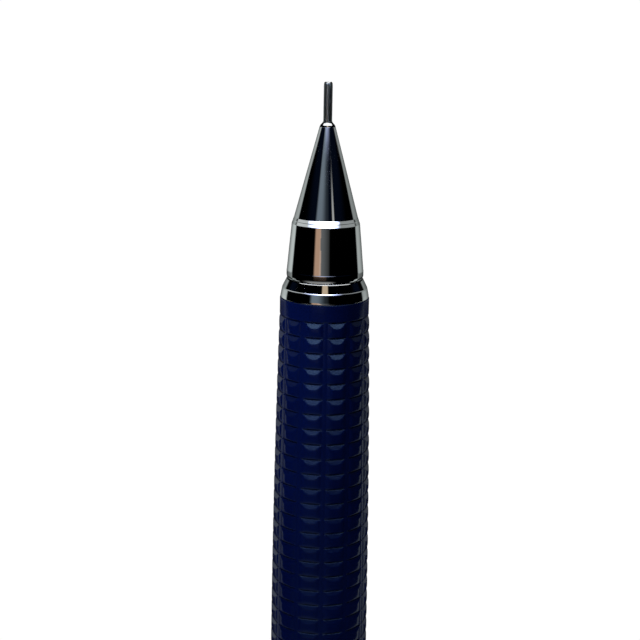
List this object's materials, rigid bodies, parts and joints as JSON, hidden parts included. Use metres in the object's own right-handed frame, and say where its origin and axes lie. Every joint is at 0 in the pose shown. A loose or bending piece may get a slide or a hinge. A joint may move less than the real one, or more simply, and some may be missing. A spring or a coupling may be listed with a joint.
{
  "type": "mechanical pencil",
  "caption": "Push-button drafting pencil with a twelve-sided padded grip, an unscrewing chrome nose with a thin lead sleeve, a pocket clip and a pull-off cap over an eraser.",
  "frame": {"origin": "centre of the push cap's flat end", "axes": "+Z along the pencil's axis, from the push cap to the tip; the clip lies on the -Y side"},
  "size_m": [0.009, 0.011, 0.144],
  "materials": {
    "body_plastic": "satin moulded navy plastic",
    "chrome_plate": "polished plating",
    "clip_chrome": "polished plated spring steel",
    "sleeve_steel": "drawn stainless tube",
    "spring_steel": "bright spring wire",
    "chuck_brass": "turned",
    "brake_rubber": "matt",
    "inner_plastic": "natural moulded polymer",
    "graphite": "polymer graphite lead",
    "eraser_rubber": "soft matt"
  },
  "bodies": {
    "body_shell": {"barrel": "body_plastic", "front_collar": "chrome_plate", "guide_bush": "inner_plastic", "tail_ring": "chrome_plate", "clip_band": "clip_chrome", "return_spring": "spring_steel"},
    "clip": {"clip_arm": "clip_chrome"},
    "nose_carrier": {"lead_sleeve": "sleeve_steel", "lead_brake": "brake_rubber", "brake_retainer": "chuck_brass"},
    "nose": {"nose_cone": "chrome_plate"},
    "feed": {"chuck_body": "chuck_brass", "tube_coupling": "inner_plastic", "lead_tube": "inner_plastic", "spare_leads": "graphite"},
    "clutch": {"clutch_ring": "chuck_brass"},
    "jaw_1": {"chuck_jaw_1": "chuck_brass"},
    "jaw_2": {"chuck_jaw_2": "chuck_brass"},
    "jaw_3": {"chuck_jaw_3": "chuck_brass"},
    "lead_in_use": {"lead": "graphite"},
    "cap": {"push_cap": "chrome_plate"},
    "eraser_unit": {"eraser_holder": "inner_plastic", "eraser": "eraser_rubber", "clearing_pin": "spring_steel"}
  },
  "joints": [
    {"name": "clip_flex", "type": "hinge", "parent": "body_shell", "child": "clip", "pos_m": [0, -0.00442, 0.014], "axis": [1, 0, 0], "range_deg": [0, 3.5], "stiffness_Nm_per_rad": 0.2},
    {"name": "nose_advance", "type": "slide", "parent": "body_shell", "child": "nose_carrier", "axis": [0, 0, 1], "range_m": [0, 0.0065]},
    {"name": "nose_turn", "type": "hinge", "parent": "nose_carrier", "child": "nose", "pos_m": [0, 0, 0.13], "axis": [0, 0, 1], "range_deg": [0, 4681]},
    {"name": "push", "type": "slide", "parent": "body_shell", "child": "feed", "axis": [0, 0, 1], "range_m": [0, 0.0035], "stiffness_N_per_m": 200, "springref_m": -0.004, "deforming": ["return_spring"]},
    {"name": "clutch_follow", "type": "slide", "parent": "body_shell", "child": "clutch", "axis": [0, 0, 1], "range_m": [0, 0.00081]},
    {"name": "jaw_1_open", "type": "hinge", "parent": "feed", "child": "jaw_1", "pos_m": [0, 0.0009, 0.11505], "axis": [-1, 0, 0], "range_deg": [0, 1.35]},
    {"name": "jaw_2_open", "type": "hinge", "parent": "feed", "child": "jaw_2", "pos_m": [-0.00078, -0.00045, 0.11505], "axis": [0.5, -0.866, 0], "range_deg": [0, 1.35]},
    {"name": "jaw_3_open", "type": "hinge", "parent": "feed", "child": "jaw_3", "pos_m": [0.00078, -0.00045, 0.11505], "axis": [0.5, 0.866, 0], "range_deg": [0, 1.35]},
    {"name": "lead_feed", "type": "slide", "parent": "body_shell", "child": "lead_in_use", "axis": [0, 0, 1], "range_m": [0, 0.0095]},
    {"name": "cap_pull", "type": "slide", "parent": "feed", "child": "cap", "axis": [0, 0, -1], "range_m": [0, 0.028]},
    {"name": "eraser_pull", "type": "slide", "parent": "feed", "child": "eraser_unit", "axis": [0, 0, -1], "range_m": [0, 0.0127]}
  ],
  "couplings": [
    {"joint": "nose_turn", "follows": "nose_advance", "rad_per_m": 12566},
    {"joint": "clutch_follow", "follows": "push", "ratio": 0.2286},
    {"joint": "jaw_1_open", "follows": "push", "rad_per_m": 6.6},
    {"joint": "jaw_2_open", "follows": "push", "rad_per_m": 6.6},
    {"joint": "jaw_3_open", "follows": "push", "rad_per_m": 6.6},
    {"joint": "eraser_pull", "follows": "cap_pull", "ratio": 0.45}
  ]
}
